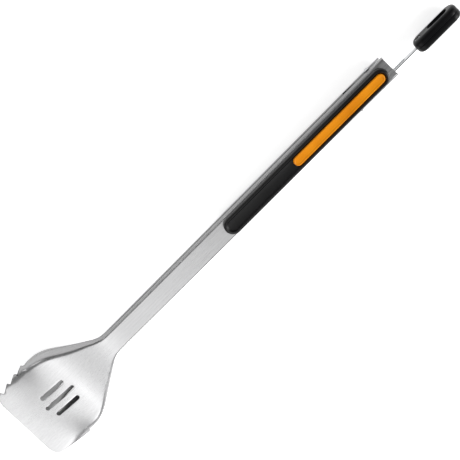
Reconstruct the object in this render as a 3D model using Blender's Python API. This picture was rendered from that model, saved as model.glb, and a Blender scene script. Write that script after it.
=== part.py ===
"""Locking grill tongs: two folded steel arms that end in scoops, soft grips, a sprung hinge and a pull-tab lock.

Metres, +Z up. X runs from the scoops to the pull tab, and the tongs lie closed on their lower arm. The shapes are
described with x measured from the front edge and z from the plane where the arms meet; world_point() places them.
"""

from math import atan2, cos, pi, radians, sin, sqrt, tan

import bmesh
import bpy
from mathutils import Matrix, Vector

MM = 0.001

# Overall
OVERALL_LENGTH = 475 * MM
HALF_HEIGHT = 12.25 * MM
GAP = 0.3 * MM
SHEET = 0.8 * MM
RIM_GAP = 0.4 * MM
SHAFT_RIM_GAP = 0.9 * MM

# Arms
ARM_END = 406 * MM
LOWER_ARM_END = 403.5 * MM
NECK_X = 93.5 * MM
NECK_HEIGHT = 5.4 * MM
END_HEIGHT = 7.25 * MM
NECK_HALF_WIDTH = 9.2 * MM
ARM_HALF_WIDTH_FRONT = 8.6 * MM
ARM_HALF_WIDTH_END = 9.4 * MM
ARM_SHOULDER = 2 * MM
ARM_FLARE = radians(1)

# Scoops
FRONT_HALF_WIDTH = 24.75 * MM
CORNER_LENGTH = 6.2 * MM
DEEPEST_X = 54 * MM
SCOOP_DEPTH = 12.25 * MM
FRONT_LIP = 1.5 * MM
FRONT_CROWN = 0.8
FRONT_SHOULDER = 9 * MM
DISH_SHOULDER = 4.5 * MM
DISH_FLARE = radians(8)
NECK_FLARE = radians(18)
TOOTH_TIPS = ((6.2 * MM, 34.8 * MM), (15.3 * MM, 36.5 * MM), (24.3 * MM, 38.0 * MM), (33.2 * MM, 39.0 * MM))
TOOTH_OVERHANG = 2 * MM
TOOTH_DEPTH = 2.8 * MM
TOOTH_DROP = 1.4 * MM
RIM_BEHIND_TEETH = (
    (34.6 * MM, 37.0 * MM),
    (38 * MM, 37.2 * MM),
    (44 * MM, 36.6 * MM),
    (50 * MM, 35.0 * MM),
    (57.9 * MM, 31.2 * MM),
    (65.8 * MM, 26.2 * MM),
    (73.8 * MM, 21.0 * MM),
    (81.7 * MM, 15.9 * MM),
    (88.5 * MM, 11.6 * MM),
    (NECK_X, NECK_HALF_WIDTH),
    (103 * MM, ARM_HALF_WIDTH_FRONT),
)
DRAIN_SLOTS = ((-9 * MM, 12 * MM), (0, 15 * MM), (9 * MM, 12 * MM))
DRAIN_CENTRE_X = 37 * MM
DRAIN_HALF_WIDTH = 1.9 * MM

# Hinge: the upper arm has ears that hang inside the lower arm's walls
PIN_X = 390.4 * MM
PIN_Z = -2 * MM
PIN_RADIUS = 1.2 * MM
PIN_HOLE_RADIUS = 1.5 * MM
PIN_HEAD_RADIUS = 2.7 * MM
RELIEF_START, RELIEF_END = 364 * MM, 380 * MM
RELIEF_DEPTH = 4.5 * MM
EAR_INSET = 1.15 * MM
EAR_RADIUS = 3.3 * MM
EAR_TOP = 2.4 * MM
EAR_ROOT_LOW, EAR_ROOT_HIGH = 1.0 * MM, 2.6 * MM
LOBE_RADIUS = 2.6 * MM
SWING_START = 392.4 * MM
SWING_SLOPE = 0.135

# Grips and inserts
GRIP_START, GRIP_END = 223.3 * MM, 401.7 * MM
GRIP_HALF_WIDTH = 7.5 * MM
GRIP_TOP = 11.6 * MM
TROUGH_DEPTH = 1.5 * MM
INSERT_START, INSERT_END = 299 * MM, 397.8 * MM
INSERT_HALF_WIDTH = 3.95 * MM
PEG_XS = (240 * MM, 298 * MM, 354 * MM)
PEG_RADIUS = 1.9 * MM
PEG_HOLE_RADIUS = 2.2 * MM
BARB_RADIUS = 2.8 * MM

# Spring
COIL_RADIUS = 3.1 * MM
WIRE_RADIUS = 0.5 * MM
COIL_TURNS = 6.5
COIL_START_Y, COIL_END_Y = 5.2 * MM, -3.9 * MM
LEG_END_X = 366 * MM
LEG_END_Z = 5.3 * MM

# Lock
LOCK_TRAVEL = 18 * MM
PLATE_Y = -6.55 * MM
PLATE_THICKNESS = 0.9 * MM
PLATE_END_X = 441 * MM
TONGUE_LOW, TONGUE_HIGH = -4.2 * MM, 1.5 * MM
GUIDE_X = 398 * MM
GUIDE_RADIUS = 1.0 * MM
GUIDE_HOLE_RADIUS = 1.3 * MM
SLOT_HALF_HEIGHT = 1.55 * MM
STUD_X, STUD_Z = 366 * MM, 2.9 * MM

# Pull tab
TAB_START = 430 * MM
TAB_CENTRE_Z = -1 * MM
TAB_HALF_HEIGHT = 8.75 * MM
TAB_HALF_THICKNESS = 5.6 * MM
TAB_HOLE_START, TAB_HOLE_END = 447 * MM, 468 * MM
TAB_HOLE_HALF_HEIGHT = 4.4 * MM
TAB_RIVET_XS = (434 * MM, 438 * MM)
TAB_RIVET_Z = -1.2 * MM
TAB_RIVET_RADIUS = 0.85 * MM

STEEL = (0.72, 0.73, 0.74)
DARK_STEEL = (0.45, 0.46, 0.48)
SPRING_STEEL = (0.35, 0.35, 0.37)
BLACK = (0.02, 0.02, 0.022)
ORANGE = (0.95, 0.33, 0.02)


# Placing and joining


def world_point(x, y, z):
    """A point given from the front edge and the meeting plane, in the world."""
    return Vector((x - OVERALL_LENGTH / 2, y, z + HALF_HEIGHT))


def clear_scene():
    for obj in list(bpy.data.objects):
        bpy.data.objects.remove(obj, do_unlink=True)


def material(name, colour, roughness, metallic):
    made = bpy.data.materials.new(name)
    made.use_nodes = True
    surface = made.node_tree.nodes["Principled BSDF"]
    surface.inputs["Base Color"].default_value = (*colour, 1)
    surface.inputs["Roughness"].default_value = roughness
    surface.inputs["Metallic"].default_value = metallic
    made.diffuse_color = (*colour, 1)
    return made


def mesh_object(name, points, faces, finish=None):
    """An object from points in the design's own coordinates, with its faces turned outwards."""
    mesh = bpy.data.meshes.new(name)
    mesh.from_pydata([world_point(*p) for p in points], [], faces)
    work = bmesh.new()
    work.from_mesh(mesh)
    bmesh.ops.recalc_face_normals(work, faces=work.faces)
    work.to_mesh(mesh)
    work.free()
    if finish:
        mesh.materials.append(material(name, *finish))
    obj = bpy.data.objects.new(name, mesh)
    bpy.context.collection.objects.link(obj)
    return obj


def smooth(obj, angle=30):
    obj.data.shade_smooth()
    obj.data.set_sharp_from_angle(angle=radians(angle))
    return obj


def boolean(target, tool, operation):
    """Cut or add a tool, which stays in the file as a hidden guide."""
    tool.hide_render = True
    tool.display_type = "WIRE"
    modifier = target.modifiers.new(tool.name, "BOOLEAN")
    modifier.operation = operation
    modifier.solver = "EXACT"
    modifier.object = tool


def cut(target, tool):
    boolean(target, tool, "DIFFERENCE")


def add(target, tool):
    boolean(target, tool, "UNION")


def merged(name, shapes):
    """Several separate closed shapes, each (points, faces), as one tool."""
    points, faces = [], []
    for shape_points, shape_faces in shapes:
        start = len(points)
        points += shape_points
        faces += [tuple(i + start for i in face) for face in shape_faces]
    return mesh_object(name, points, faces)


# Basic shapes, each returned as (points, faces)


def arc(centre, radius, start, end, steps):
    """Points along an arc in a plane, angles in radians."""
    angles = [start + (end - start) * i / steps for i in range(steps + 1)]
    return [(centre[0] + radius * cos(a), centre[1] + radius * sin(a)) for a in angles]


def rectangle(start, end, low, high):
    return [(start, low), (end, low), (end, high), (start, high)]


def stadium(start, end, centre, half_width, inset=0, steps=10):
    """A round-ended outline along the first axis."""
    radius = half_width - inset
    right = arc((end - half_width, centre), radius, -pi / 2, pi / 2, steps)
    left = arc((start + half_width, centre), radius, pi / 2, 3 * pi / 2, steps)
    return right + left


def rounded_box(start, end, centre, half_height, corner, inset=0, steps=6):
    """A rectangle with round corners, drawn from its lower right corner."""
    outline = []
    radius = corner - inset
    for x, z, first in (
        (end - corner, centre - half_height + corner, -pi / 2),
        (end - corner, centre + half_height - corner, 0),
        (start + corner, centre + half_height - corner, pi / 2),
        (start + corner, centre - half_height + corner, pi),
    ):
        outline += arc((x, z), radius, first, first + pi / 2, steps)
    return outline


def stacked(levels, axis):
    """A closed solid through outlines of equal length, each (outline, height), stacked along Y or Z."""
    place = {"Y": lambda p, h: (p[0], h, p[1]), "Z": lambda p, h: (p[0], p[1], h)}[axis]
    points = [place(p, h(p[0]) if callable(h) else h) for outline, h in levels for p in outline]
    count = len(levels[0][0])
    faces = [tuple(range(count))[::-1]]
    for level in range(len(levels) - 1):
        low, high = level * count, (level + 1) * count
        for i in range(count):
            j = (i + 1) % count
            faces.append((low + i, low + j, high + j, high + i))
    top = (len(levels) - 1) * count
    faces.append(tuple(range(top, top + count)))
    return points, faces


def prism(outline, axis, low, high):
    return stacked([(outline, low), (outline, high)], axis)


def turned(profile, x, other, axis, steps=24):
    """A shape turned about a line along Y at (x, z) or along Z at (x, y), from a closed loop of (along, radius)."""
    count = len(profile)
    points = []
    for i in range(steps):
        a = 2 * pi * i / steps
        for along, radius in profile:
            u, v = x + radius * cos(a), other + radius * sin(a)
            points.append((u, along, v) if axis == "Y" else (u, v, along))
    faces = []
    for i in range(steps):
        low, high = i * count, ((i + 1) % steps) * count
        for k in range(count):
            m = (k + 1) % count
            faces.append((low + k, low + m, high + m, high + k))
    return points, faces


def rod(profile, x, other, axis, steps=24):
    """A solid turned about a line, from the (along, radius) steps between its two flat ends."""
    circles = []
    for along, radius in profile:
        circle = [(x + radius * cos(2 * pi * i / steps), other + radius * sin(2 * pi * i / steps)) for i in range(steps)]
        circles.append((circle, along))
    return stacked(circles, axis)


# The arms


def ease(x, start, end):
    """0 before start, 1 after end and a smooth rise between."""
    share = min(max((x - start) / (end - start), 0), 1)
    return share * share * (3 - 2 * share)


def face_height(x):
    """Height of an arm's outer face from the meeting plane."""
    if x < DEEPEST_X:
        return FRONT_LIP + (SCOOP_DEPTH - FRONT_LIP) * (1 - cos(pi * x / DEEPEST_X)) / 2
    if x < NECK_X:
        turn = pi * (x - DEEPEST_X) / (NECK_X - DEEPEST_X)
        return NECK_HEIGHT + (SCOOP_DEPTH - NECK_HEIGHT) * (1 + cos(turn)) / 2
    return NECK_HEIGHT + (END_HEIGHT - NECK_HEIGHT) * (x - NECK_X) / (ARM_END - NECK_X)


def rim_height(x):
    """Height of an arm's rim from the meeting plane."""
    return RIM_GAP + (SHAFT_RIM_GAP - RIM_GAP) * ease(x, 85 * MM, 125 * MM)


def half_width(x):
    """Half of an arm's width at its rim, before the teeth are cut."""
    if x < CORNER_LENGTH:
        back = (CORNER_LENGTH - x) / CORNER_LENGTH
        return FRONT_HALF_WIDTH + (TOOTH_TIPS[0][1] - FRONT_HALF_WIDTH) * sqrt(1 - back * back)
    knots = (*TOOTH_TIPS, *RIM_BEHIND_TEETH, (ARM_END, ARM_HALF_WIDTH_END))
    for (x0, w0), (x1, w1) in zip(knots, knots[1:]):
        if x <= x1:
            return w0 + (w1 - w0) * (x - x0) / (x1 - x0)
    return ARM_HALF_WIDTH_END


def flare(x):
    """Angle of the side walls from upright."""
    lean = DISH_FLARE + (NECK_FLARE - DISH_FLARE) * ease(x, 52 * MM, 78 * MM)
    return lean + (ARM_FLARE - lean) * ease(x, 84 * MM, 103 * MM)


def shoulder(x):
    """Radius of the bend between an arm's face and its walls."""
    radius = FRONT_SHOULDER + (DISH_SHOULDER - FRONT_SHOULDER) * ease(x, 0, 40 * MM)
    return radius + (ARM_SHOULDER - radius) * ease(x, 60 * MM, NECK_X)


def crown(x):
    """How far the face has fallen at an arm's rims, as a share of its height."""
    return FRONT_CROWN * (1 - ease(x, 20 * MM, 44 * MM))


def tooth_overhang(x):
    """How far the toothed rim stands out from the smooth line of the wall."""
    first, last, behind = TOOTH_TIPS[0][0], TOOTH_TIPS[3][0], RIM_BEHIND_TEETH[0][0]
    if x <= last:
        return TOOTH_OVERHANG * max(x - first, 0) / (last - first)
    return TOOTH_OVERHANG * max(behind - x, 0) / (behind - last)


def section(x, width, arc_steps=4, face_steps=4):
    """Outer and inner lines of the folded sheet at x, each from the rim on -Y over the face to the rim on +Y."""
    height, rim = face_height(x), rim_height(x)
    corner_y = width - tooth_overhang(x) - (height - rim) * tan(flare(x))
    lean = atan2(width - corner_y, height - rim)
    room = (height - rim - SHEET * sin(lean)) / (1 - sin(lean))
    radius = min(shoulder(x), 0.9 * room)
    centre = (corner_y - radius * tan((pi / 2 - lean) / 2), height - radius)
    halves = []
    for offset in (0, SHEET):
        half = [(width - offset / cos(lean), rim)] + arc(centre, radius - offset, lean, pi / 2, arc_steps)
        edge, top = half[-1]
        halves.append(half + [(edge * (1 - i / face_steps), top) for i in range(1, face_steps + 1)])
    falls = [crown(x) * (z - rim) * (y / width) ** 2 for y, z in halves[0]]
    both = []
    for half in halves:
        half = [(y, max(z - fall, rim)) for (y, z), fall in zip(half, falls)]
        both.append([(-y, z) for y, z in half] + half[-2::-1])
    return both


def arm_stations(end):
    """Places along an arm where its section is drawn."""
    corner = [CORNER_LENGTH * (1 - cos(pi / 2 * i / 5)) for i in range(6)]
    teeth = [10 * MM, 15 * MM, 20 * MM, 25 * MM, 29.5 * MM, TOOTH_TIPS[3][0], RIM_BEHIND_TEETH[0][0]]
    dish = [38 * MM + i * 4.2 * MM for i in range(17)]
    return corner + teeth + dish + [180 * MM, 270 * MM, 350 * MM, PIN_X, end]


def arm_shell(name, side, end):
    """A folded sheet arm, above (side 1) or below (side -1) the meeting plane."""
    points, faces, count = [], [], 0
    for x in arm_stations(end):
        outer, inner = section(x, half_width(x))
        ring = outer + inner[::-1]
        count = len(ring)
        points += [(x, y, side * z) for y, z in ring]
    last = len(points) - count
    for low in range(0, last, count):
        for i in range(count):
            j = (i + 1) % count
            faces.append((low + i, low + j, low + count + j, low + count + i))
    for i in range(count // 2 - 1):
        a, b = i, count - 1 - i
        faces.append((a, a + 1, b - 1, b))
        faces.append((last + a, last + b, last + b - 1, last + a + 1))
    return smooth(mesh_object(name, points, faces, (STEEL, 0.3, 1)))


def tooth_notches(name):
    """Wedges between one tooth's tip and the next, on both rims of a scoop."""
    shapes = []
    beyond = 3 * MM
    for side in (1, -1):
        for (x0, w0), (x1, w1) in zip(TOOTH_TIPS, TOOTH_TIPS[1:]):
            notch = (x0 + TOOTH_DROP, w0 - TOOTH_DEPTH)
            outline = [(x0, w0), notch, (x1, w1), (x1, w1 + beyond), (x0, w0 + beyond)]
            outline = [(x, side * y) for x, y in outline]
            shapes.append(prism(outline, "Z", -SCOOP_DEPTH, SCOOP_DEPTH))
    return merged(name, shapes)


def drain_slots(name):
    shapes = []
    for y, half in DRAIN_SLOTS:
        outline = stadium(DRAIN_CENTRE_X - half, DRAIN_CENTRE_X + half, y, DRAIN_HALF_WIDTH, steps=6)
        shapes.append(prism(outline, "Z", -SCOOP_DEPTH - MM, SCOOP_DEPTH + MM))
    return merged(name, shapes)


def peg_holes(name):
    profile = [(-HALF_HEIGHT, PEG_HOLE_RADIUS), (HALF_HEIGHT, PEG_HOLE_RADIUS)]
    return merged(name, [rod(profile, x, 0, "Z", 16) for x in PEG_XS])


def pin_hole(name):
    return merged(name, [rod([(-12 * MM, PIN_HOLE_RADIUS), (12 * MM, PIN_HOLE_RADIUS)], PIN_X, PIN_Z, "Y")])


def both_walls(name, outline, inner, outer):
    """One flat piece for each side wall, between two distances from the middle."""
    return merged(name, [prism(outline, "Y", inner, outer), prism(outline, "Y", -outer, -inner)])


def ears():
    """Round-ended plates round the pin, which hang inside the lower arm's walls."""
    low_end = arc((PIN_X, PIN_Z), EAR_RADIUS, pi, 2 * pi, 14)
    outline = low_end + [(low_end[-1][0], EAR_TOP), (low_end[0][0], EAR_TOP)]
    outer = half_width(PIN_X) - EAR_INSET
    return both_walls("upper_ears", outline, outer - SHEET, outer)


def ear_roots():
    """The steps in the sheet that join the ears to the upper arm's walls."""
    reach = EAR_RADIUS - 0.5 * MM
    outline = rectangle(PIN_X - reach, PIN_X + reach, EAR_ROOT_LOW, EAR_ROOT_HIGH)
    outer = half_width(PIN_X)
    return both_walls("upper_ear_roots", outline, outer - EAR_INSET - SHEET / 2, outer - SHEET / 2)


def lobe_room():
    """Room in the upper arm's rims for the lower arm's lobes."""
    outline = arc((PIN_X, PIN_Z), LOBE_RADIUS + GAP, 0, 2 * pi, 24)[:-1]
    return both_walls("upper_lobe_room", outline, half_width(PIN_X) - SHEET - GAP / 2, 12 * MM)


def lobes():
    """Round tops on the lower arm's walls round the pin, a little thinner than the sheet."""
    round_top = arc((PIN_X, PIN_Z), LOBE_RADIUS, 0, pi, 14)
    outline = round_top + [(PIN_X - LOBE_RADIUS, -5 * MM), (PIN_X + LOBE_RADIUS, -5 * MM)]
    outer = half_width(PIN_X)
    skin = 0.1 * MM
    return both_walls("lower_lobes", outline, outer - SHEET + skin, outer - skin)


def swing_room(name, side):
    """A slope on a rim behind the pin, so that the ends of the arms clear each other as they open."""
    far = ARM_END + MM
    rim = side * RIM_GAP
    slope = side * SWING_SLOPE * (far - SWING_START)
    outline = [(SWING_START, -side * MM), (SWING_START, rim), (far, rim + slope), (far, -side * MM)]
    return both_walls(name, outline, half_width(PIN_X) - SHEET - GAP / 2, 12 * MM)


def upper_arm():
    arm = arm_shell("upper_arm", 1, ARM_END)
    add(arm, ears())
    add(arm, ear_roots())
    cut(arm, lobe_room())
    cut(arm, swing_room("upper_swing_room", 1))
    cut(arm, tooth_notches("upper_tooth_notches"))
    cut(arm, drain_slots("upper_drain_slots"))
    cut(arm, peg_holes("upper_peg_holes"))
    cut(arm, pin_hole("upper_pin_hole"))
    profile = [(-12 * MM, GUIDE_HOLE_RADIUS), (-7 * MM, GUIDE_HOLE_RADIUS)]
    cut(arm, merged("stud_hole", [rod(profile, STUD_X, STUD_Z, "Y", 16)]))
    return arm


def lower_arm():
    arm = arm_shell("lower_arm", -1, LOWER_ARM_END)
    add(arm, lobes())
    cut(arm, swing_room("lower_swing_room", -1))
    cut(arm, tooth_notches("lower_tooth_notches"))
    cut(arm, drain_slots("lower_drain_slots"))
    cut(arm, peg_holes("lower_peg_holes"))
    cut(arm, pin_hole("lower_pin_hole"))
    wedge = [(RELIEF_START, MM), (RELIEF_START, -RELIEF_DEPTH), (RELIEF_END, -RIM_GAP), (RELIEF_END, MM)]
    cut(arm, merged("hinge_relief", [prism(wedge, "Y", -12 * MM, 12 * MM)]))
    profile = [(-12 * MM, GUIDE_HOLE_RADIUS), (-7 * MM, GUIDE_HOLE_RADIUS)]
    cut(arm, merged("guide_hole", [rod(profile, GUIDE_X, PIN_Z, "Y", 16)]))
    return arm


# Grips and inserts


def grip(name, side):
    """A soft grip with a raised border round a shallow trough, held by barbed pegs through the arm's face."""

    def level(inset, height):
        return stadium(GRIP_START, GRIP_END, 0, GRIP_HALF_WIDTH, inset), height

    top = side * GRIP_TOP
    floor = side * (GRIP_TOP - TROUGH_DEPTH)
    shape = stacked(
        [
            level(0, lambda x: side * (face_height(x) + GAP)),
            level(0, lambda x: side * (face_height(x) + GAP + MM)),
            level(0.5 * MM, top - side * 1.5 * MM),
            level(1.1 * MM, top - side * 0.4 * MM),
            level(1.9 * MM, top),
            level(2.7 * MM, top - side * 0.4 * MM),
            level(3.2 * MM, floor),
        ],
        "Z",
    )
    body = smooth(mesh_object(name, *shape, (BLACK, 0.55, 0)))
    pegs = []
    for x in PEG_XS:
        inner = face_height(x) - SHEET - GAP
        profile = [
            (side * (GRIP_TOP - 3 * MM), PEG_RADIUS),
            (side * inner, PEG_RADIUS),
            (side * inner, BARB_RADIUS),
            (side * (inner - 1.8 * MM), PEG_RADIUS - 0.5 * MM),
        ]
        pegs.append(rod(profile, x, 0, "Z", 16))
    add(body, merged(name + "_pegs", pegs))
    return body


def insert(name, side):
    """A coloured strip that sits in the grip's trough."""

    def level(inset, height):
        outline = stadium(INSERT_START, INSERT_END, 0, INSERT_HALF_WIDTH, inset)
        return outline, side * height

    low = GRIP_TOP - TROUGH_DEPTH + GAP
    levels = [level(0, low), level(0, HALF_HEIGHT - 0.6 * MM), level(0.7 * MM, HALF_HEIGHT)]
    return smooth(mesh_object(name, *stacked(levels, "Z"), (ORANGE, 0.4, 0)))


# Hinge


def hinge_pin():
    wall = ARM_HALF_WIDTH_END + GAP
    profile = [
        (-wall - 1.8 * MM, 1.6 * MM),
        (-wall - 1.4 * MM, 2.2 * MM),
        (-wall - 0.8 * MM, 2.4 * MM),
        (-wall - 0.8 * MM, PIN_RADIUS),
        (wall, PIN_RADIUS),
        (wall, PIN_HEAD_RADIUS),
        (wall + 0.7 * MM, PIN_HEAD_RADIUS - 0.1 * MM),
        (wall + 1.2 * MM, PIN_HEAD_RADIUS - 0.7 * MM),
        (wall + 1.4 * MM, PIN_HEAD_RADIUS - 1.6 * MM),
    ]
    return smooth(mesh_object("hinge_pin", *rod(profile, PIN_X, PIN_Z, "Y"), (STEEL, 0.25, 1)))


def ring(name, start_y, end_y, radius, colour):
    """A washer or a bush around the pin."""
    profile = [(start_y, PIN_HOLE_RADIUS), (end_y, PIN_HOLE_RADIUS), (end_y, radius), (start_y, radius)]
    return smooth(mesh_object(name, *turned(profile, PIN_X, PIN_Z, "Y"), (colour, 0.35, 1)))


def torsion_spring():
    """A coil round the bush, with a leg under each arm's face."""
    steps = round(14 * COIL_TURNS)
    path = [(LEG_END_X, COIL_START_Y, -LEG_END_Z)]
    for i in range(steps + 1):
        a = -pi / 2 + 2 * pi * COIL_TURNS * i / steps
        y = COIL_START_Y + (COIL_END_Y - COIL_START_Y) * i / steps
        path.append((PIN_X + COIL_RADIUS * cos(a), y, PIN_Z + COIL_RADIUS * sin(a)))
    path.append((LEG_END_X, COIL_END_Y, LEG_END_Z))
    curve = bpy.data.curves.new("torsion_spring", "CURVE")
    curve.dimensions = "3D"
    curve.bevel_depth = WIRE_RADIUS
    curve.bevel_resolution = 1
    curve.use_fill_caps = True
    spline = curve.splines.new("POLY")
    spline.points.add(len(path) - 1)
    for point, place in zip(spline.points, path):
        point.co = (*world_point(*place), 1)
    curve.materials.append(material("torsion_spring", SPRING_STEEL, 0.35, 1))
    obj = bpy.data.objects.new("torsion_spring", curve)
    bpy.context.collection.objects.link(obj)
    return obj


# Lock


def lock_plate():
    """A flat plate with a slot for the pins, a hook towards the scoops and a tongue inside the pull tab."""
    outline = [
        (PLATE_END_X, TONGUE_LOW),
        (PLATE_END_X, TONGUE_HIGH),
        (400 * MM, 1.7 * MM),
        (396 * MM, 2.3 * MM),
        (383 * MM, 2.3 * MM),
        (375 * MM, 0.5 * MM),
        (363.2 * MM, 0.5 * MM),
        (363.2 * MM, 4.4 * MM),
        (369 * MM, 4.4 * MM),
        (369 * MM, 5.7 * MM),
        (361.5 * MM, 5.7 * MM),
        (361.5 * MM, -4.8 * MM),
        (364 * MM, -5.8 * MM),
        (422 * MM, -5.8 * MM),
        (428 * MM, TONGUE_LOW),
    ]
    half = PLATE_THICKNESS / 2
    shape = prism(outline, "Y", PLATE_Y - half, PLATE_Y + half)
    plate = mesh_object("lock_plate", *shape, (STEEL, 0.3, 1))
    start = PIN_X - SLOT_HALF_HEIGHT
    end = GUIDE_X + LOCK_TRAVEL + SLOT_HALF_HEIGHT
    slot = stadium(start, end, PIN_Z, SLOT_HALF_HEIGHT, steps=8)
    tools = [prism(slot, "Y", PLATE_Y - MM, PLATE_Y + MM)]
    ends = [(PLATE_Y - MM, TAB_RIVET_RADIUS + GAP), (PLATE_Y + MM, TAB_RIVET_RADIUS + GAP)]
    tools += [rod(ends, x, TAB_RIVET_Z, "Y", 16) for x in TAB_RIVET_XS]
    cut(plate, merged("plate_holes", tools))
    return plate


def lock_guide_pin():
    """A rivet in the lower arm's wall that keeps the plate straight, with its head inside."""
    inner_face = PLATE_Y + PLATE_THICKNESS / 2 + GAP
    outer_end = -half_width(GUIDE_X)
    profile = [
        (outer_end, GUIDE_RADIUS),
        (inner_face, GUIDE_RADIUS),
        (inner_face, 1.9 * MM),
        (inner_face + 0.5 * MM, 1.9 * MM),
        (inner_face + 0.8 * MM, 1.4 * MM),
    ]
    return smooth(mesh_object("lock_guide_pin", *rod(profile, GUIDE_X, PIN_Z, "Y", 16), (DARK_STEEL, 0.35, 1)))


def lock_stud():
    """The stud in the upper arm's wall that the plate's hook passes over."""
    wall = -(half_width(STUD_X) + GAP)
    inner_end = PLATE_Y - PLATE_THICKNESS / 2 - GAP
    profile = [
        (wall - 0.8 * MM, 1.2 * MM),
        (wall - 0.5 * MM, 1.8 * MM),
        (wall, 1.8 * MM),
        (wall, GUIDE_RADIUS),
        (inner_end, GUIDE_RADIUS),
    ]
    return smooth(mesh_object("lock_stud", *rod(profile, STUD_X, STUD_Z, "Y", 16), (DARK_STEEL, 0.35, 1)))


def tab_half(name, side, pocket):
    """Half of the pull tab, a round-edged ring closed over the plate's tongue."""

    def level(inset, depth):
        outline = rounded_box(TAB_START, OVERALL_LENGTH, TAB_CENTRE_Z, TAB_HALF_HEIGHT, 8 * MM, inset)
        return outline, PLATE_Y + side * depth

    levels = [
        level(0, GAP / 2),
        level(0, 2.4 * MM),
        level(0.5 * MM, 3.7 * MM),
        level(1.5 * MM, 4.9 * MM),
        level(3.2 * MM, TAB_HALF_THICKNESS),
    ]
    half = smooth(mesh_object(name, *stacked(levels, "Y"), (BLACK, 0.5, 0)))
    hole = stadium(TAB_HOLE_START, TAB_HOLE_END, TAB_CENTRE_Z, TAB_HOLE_HALF_HEIGHT)
    cut(half, merged(name + "_hole", [prism(hole, "Y", PLATE_Y - 8 * MM, PLATE_Y + 8 * MM)]))
    cut(half, pocket)
    shapes = []
    for x in TAB_RIVET_XS:
        sink = TAB_HALF_THICKNESS - 1.2 * MM
        profile = [
            (PLATE_Y, TAB_RIVET_RADIUS + GAP),
            (PLATE_Y + side * sink, TAB_RIVET_RADIUS + GAP),
            (PLATE_Y + side * sink, 1.9 * MM),
            (PLATE_Y + side * 8 * MM, 1.9 * MM),
        ]
        shapes.append(rod(profile, x, TAB_RIVET_Z, "Y", 16))
    cut(half, merged(name + "_rivet_holes", shapes))
    return half


def tongue_pocket():
    """The hollow in the pull tab that the plate's tongue fills."""
    outline = rectangle(TAB_START - 2 * MM, PLATE_END_X + GAP, TONGUE_LOW - GAP, TONGUE_HIGH + 2 * GAP)
    half = PLATE_THICKNESS / 2 + GAP
    return merged("tongue_pocket", [prism(outline, "Y", PLATE_Y - half, PLATE_Y + half)])


def tab_rivet(name, x):
    reach = TAB_HALF_THICKNESS - 1.2 * MM + GAP
    top = TAB_HALF_THICKNESS - 0.3 * MM
    profile = [
        (PLATE_Y - top, 1.2 * MM),
        (PLATE_Y - reach, 1.6 * MM),
        (PLATE_Y - reach, TAB_RIVET_RADIUS),
        (PLATE_Y + reach, TAB_RIVET_RADIUS),
        (PLATE_Y + reach, 1.6 * MM),
        (PLATE_Y + top, 1.2 * MM),
    ]
    return smooth(mesh_object(name, *rod(profile, x, TAB_RIVET_Z, "Y", 16), (DARK_STEEL, 0.35, 1)))


# Assembly


def axis_empty(name, place, moving):
    """An empty on a joint's axis that carries the pieces which move together, and their tools."""
    empty = bpy.data.objects.new(name, None)
    empty.location = place
    bpy.context.collection.objects.link(empty)
    tools = [m.object for obj in moving for m in obj.modifiers if m.type == "BOOLEAN"]
    for obj in dict.fromkeys(moving + tools):
        obj.parent = empty
        obj.matrix_parent_inverse = Matrix.Translation(-place)


def build():
    clear_scene()
    lower_arm()
    grip("lower_grip", -1)
    insert("lower_insert", -1)
    hinge_pin()
    ring("hinge_washer", -ARM_HALF_WIDTH_END - 2 * GAP - 0.25 * MM, -ARM_HALF_WIDTH_END - GAP, 2.6 * MM, STEEL)
    ring("spacer_washer_left", -5.7 * MM, -5.2 * MM, 2.6 * MM, DARK_STEEL)
    ring("spring_bush", -4.9 * MM, 6.2 * MM, 2.1 * MM, DARK_STEEL)
    ring("spacer_washer_right", 6.5 * MM, 7.0 * MM, 2.6 * MM, DARK_STEEL)
    torsion_spring()
    lock_guide_pin()
    upper = [upper_arm(), grip("upper_grip", 1), insert("upper_insert", 1), lock_stud()]
    axis_empty("hinge_axis", world_point(PIN_X, 0, PIN_Z), upper)
    pocket = tongue_pocket()
    lock = [lock_plate(), tab_half("pull_tab_left", -1, pocket), tab_half("pull_tab_right", 1, pocket)]
    lock += [tab_rivet("tab_rivet_front", TAB_RIVET_XS[0]), tab_rivet("tab_rivet_rear", TAB_RIVET_XS[1])]
    axis_empty("lock_axis", world_point(PIN_X, PLATE_Y, PIN_Z), lock)


build()
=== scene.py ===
"""Looks for the locking grill tongs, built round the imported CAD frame.

Metres, in the frame's own coordinates: +X from the scoops to the pull tab, +Z up. The outlines below are
drawn with x measured from the scoops' front edge and z from the plane where the two arms meet, and place()
moves them.
"""

from math import atan2, cos, pi, radians, sin, sqrt, tan

import bmesh
import bpy
from mathutils import Matrix, Vector


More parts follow.
